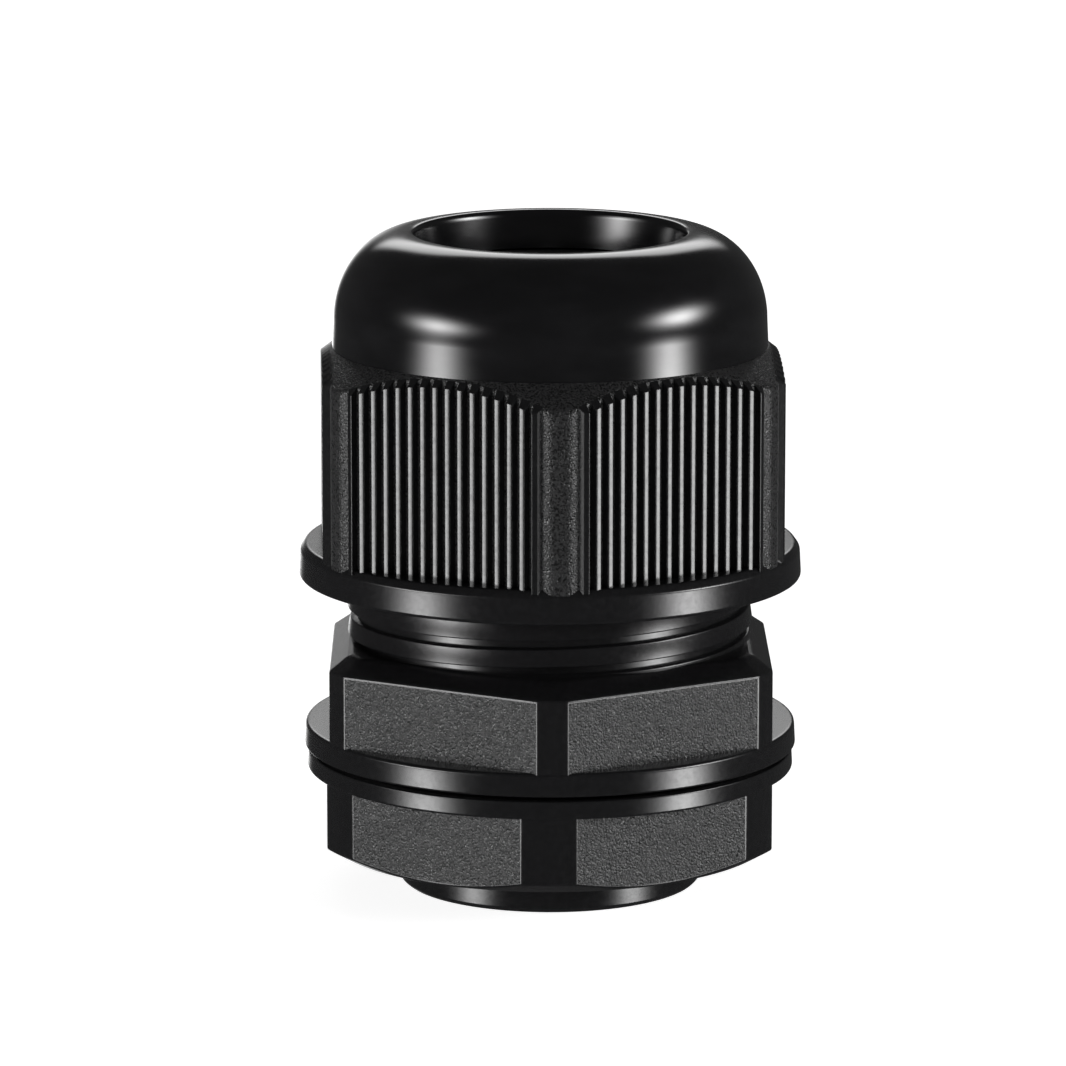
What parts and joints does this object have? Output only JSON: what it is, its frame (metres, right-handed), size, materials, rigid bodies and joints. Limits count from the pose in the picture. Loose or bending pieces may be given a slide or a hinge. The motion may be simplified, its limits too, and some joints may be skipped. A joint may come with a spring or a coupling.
{
  "type": "cable gland",
  "caption": "Plastic cable gland with a ribbed dome nut, threaded hexagonal body, clamping fingers, rubber sealing insert, flat gasket and flanged locknut.",
  "frame": {"origin": "centre of the entry thread's lower end", "axes": "+Z along the gland's axis, from the wall thread up to the dome nut; a corner of the body's hexagon points to -Y"},
  "size_m": [0.0378, 0.0376, 0.0494],
  "materials": {
    "glossy_nylon": "polished black dome, fine spark-eroded grain on the grip",
    "grained_nylon": "fine spark-eroded grain on the flats",
    "satin_nylon": "satin, on flanges, threads and fingers",
    "seal_rubber": "matte black nitrile"
  },
  "bodies": {
    "gland_body": {"gland_body": "grained_nylon"},
    "sealing_insert": {"sealing_insert": "seal_rubber"},
    "dome_nut": {"dome_nut": "glossy_nylon"},
    "flat_gasket": {"flat_gasket": "seal_rubber"},
    "locknut": {"locknut": "grained_nylon"},
    "clamping_finger_01": {"clamping_finger_01": "satin_nylon"},
    "clamping_finger_02": {"clamping_finger_02": "satin_nylon"},
    "clamping_finger_03": {"clamping_finger_03": "satin_nylon"},
    "clamping_finger_04": {"clamping_finger_04": "satin_nylon"},
    "clamping_finger_05": {"clamping_finger_05": "satin_nylon"},
    "clamping_finger_06": {"clamping_finger_06": "satin_nylon"},
    "clamping_finger_07": {"clamping_finger_07": "satin_nylon"},
    "clamping_finger_08": {"clamping_finger_08": "satin_nylon"},
    "clamping_finger_09": {"clamping_finger_09": "satin_nylon"},
    "clamping_finger_10": {"clamping_finger_10": "satin_nylon"},
    "clamping_finger_11": {"clamping_finger_11": "satin_nylon"},
    "clamping_finger_12": {"clamping_finger_12": "satin_nylon"},
    "clamping_finger_13": {"clamping_finger_13": "satin_nylon"},
    "clamping_finger_14": {"clamping_finger_14": "satin_nylon"},
    "clamping_finger_15": {"clamping_finger_15": "satin_nylon"},
    "clamping_finger_16": {"clamping_finger_16": "satin_nylon"}
  },
  "joints": [
    {"name": "cap_travel", "type": "slide", "parent": "gland_body", "child": "sealing_insert", "axis": [0, 0, 1], "range_m": [-0.0044, 0], "deforming": ["sealing_insert"]},
    {"name": "cap_turn", "type": "hinge", "parent": "sealing_insert", "child": "dome_nut", "pos_m": [0, 0, 0.0235], "axis": [0, 0, 1], "range_deg": [-792.1, 0]},
    {"name": "locknut_travel", "type": "slide", "parent": "gland_body", "child": "flat_gasket", "axis": [0, 0, 1], "range_m": [-0.0099, 0]},
    {"name": "locknut_turn", "type": "hinge", "parent": "flat_gasket", "child": "locknut", "pos_m": [0, 0, 0.003], "axis": [0, 0, 1], "range_deg": [-2376.1, 0]},
    {"name": "finger_01_bend", "type": "hinge", "parent": "gland_body", "child": "clamping_finger_01", "pos_m": [0.01235, 0, 0.0333], "axis": [0, -1, 0], "range_deg": [0, 10.6]},
    {"name": "finger_02_bend", "type": "hinge", "parent": "gland_body", "child": "clamping_finger_02", "pos_m": [0.01141, 0.00473, 0.0333], "axis": [0.3827, -0.9239, 0], "range_deg": [0, 10.6]},
    {"name": "finger_03_bend", "type": "hinge", "parent": "gland_body", "child": "clamping_finger_03", "pos_m": [0.00873, 0.00873, 0.0333], "axis": [0.7071, -0.7071, 0], "range_deg": [0, 10.6]},
    {"name": "finger_04_bend", "type": "hinge", "parent": "gland_body", "child": "clamping_finger_04", "pos_m": [0.00473, 0.01141, 0.0333], "axis": [0.9239, -0.3827, 0], "range_deg": [0, 10.6]},
    {"name": "finger_05_bend", "type": "hinge", "parent": "gland_body", "child": "clamping_finger_05", "pos_m": [0, 0.01235, 0.0333], "axis": [1, 0, 0], "range_deg": [0, 10.6]},
    {"name": "finger_06_bend", "type": "hinge", "parent": "gland_body", "child": "clamping_finger_06", "pos_m": [-0.00473, 0.01141, 0.0333], "axis": [0.9239, 0.3827, 0], "range_deg": [0, 10.6]},
    {"name": "finger_07_bend", "type": "hinge", "parent": "gland_body", "child": "clamping_finger_07", "pos_m": [-0.00873, 0.00873, 0.0333], "axis": [0.7071, 0.7071, 0], "range_deg": [0, 10.6]},
    {"name": "finger_08_bend", "type": "hinge", "parent": "gland_body", "child": "clamping_finger_08", "pos_m": [-0.01141, 0.00473, 0.0333], "axis": [0.3827, 0.9239, 0], "range_deg": [0, 10.6]},
    {"name": "finger_09_bend", "type": "hinge", "parent": "gland_body", "child": "clamping_finger_09", "pos_m": [-0.01235, 0, 0.0333], "axis": [0, 1, 0], "range_deg": [0, 10.6]},
    {"name": "finger_10_bend", "type": "hinge", "parent": "gland_body", "child": "clamping_finger_10", "pos_m": [-0.01141, -0.00473, 0.0333], "axis": [-0.3827, 0.9239, 0], "range_deg": [0, 10.6]},
    {"name": "finger_11_bend", "type": "hinge", "parent": "gland_body", "child": "clamping_finger_11", "pos_m": [-0.00873, -0.00873, 0.0333], "axis": [-0.7071, 0.7071, 0], "range_deg": [0, 10.6]},
    {"name": "finger_12_bend", "type": "hinge", "parent": "gland_body", "child": "clamping_finger_12", "pos_m": [-0.00473, -0.01141, 0.0333], "axis": [-0.9239, 0.3827, 0], "range_deg": [0, 10.6]},
    {"name": "finger_13_bend", "type": "hinge", "parent": "gland_body", "child": "clamping_finger_13", "pos_m": [0, -0.01235, 0.0333], "axis": [-1, 0, 0], "range_deg": [0, 10.6]},
    {"name": "finger_14_bend", "type": "hinge", "parent": "gland_body", "child": "clamping_finger_14", "pos_m": [0.00473, -0.01141, 0.0333], "axis": [-0.9239, -0.3827, 0], "range_deg": [0, 10.6]},
    {"name": "finger_15_bend", "type": "hinge", "parent": "gland_body", "child": "clamping_finger_15", "pos_m": [0.00873, -0.00873, 0.0333], "axis": [-0.7071, -0.7071, 0], "range_deg": [0, 10.6]},
    {"name": "finger_16_bend", "type": "hinge", "parent": "gland_body", "child": "clamping_finger_16", "pos_m": [0.01141, -0.00473, 0.0333], "axis": [-0.3827, -0.9239, 0], "range_deg": [0, 10.6]}
  ],
  "couplings": [
    {"joint": "cap_turn", "follows": "cap_travel", "rad_per_m": 3141.6},
    {"joint": "locknut_turn", "follows": "locknut_travel", "rad_per_m": 4188.8},
    {"joint": "finger_01_bend", "follows": "cap_travel", "rad_per_m": -41.65},
    {"joint": "finger_02_bend", "follows": "cap_travel", "rad_per_m": -41.65},
    {"joint": "finger_03_bend", "follows": "cap_travel", "rad_per_m": -41.65},
    {"joint": "finger_04_bend", "follows": "cap_travel", "rad_per_m": -41.65},
    {"joint": "finger_05_bend", "follows": "cap_travel", "rad_per_m": -41.65},
    {"joint": "finger_06_bend", "follows": "cap_travel", "rad_per_m": -41.65},
    {"joint": "finger_07_bend", "follows": "cap_travel", "rad_per_m": -41.65},
    {"joint": "finger_08_bend", "follows": "cap_travel", "rad_per_m": -41.65},
    {"joint": "finger_09_bend", "follows": "cap_travel", "rad_per_m": -41.65},
    {"joint": "finger_10_bend", "follows": "cap_travel", "rad_per_m": -41.65},
    {"joint": "finger_11_bend", "follows": "cap_travel", "rad_per_m": -41.65},
    {"joint": "finger_12_bend", "follows": "cap_travel", "rad_per_m": -41.65},
    {"joint": "finger_13_bend", "follows": "cap_travel", "rad_per_m": -41.65},
    {"joint": "finger_14_bend", "follows": "cap_travel", "rad_per_m": -41.65},
    {"joint": "finger_15_bend", "follows": "cap_travel", "rad_per_m": -41.65},
    {"joint": "finger_16_bend", "follows": "cap_travel", "rad_per_m": -41.65}
  ]
}
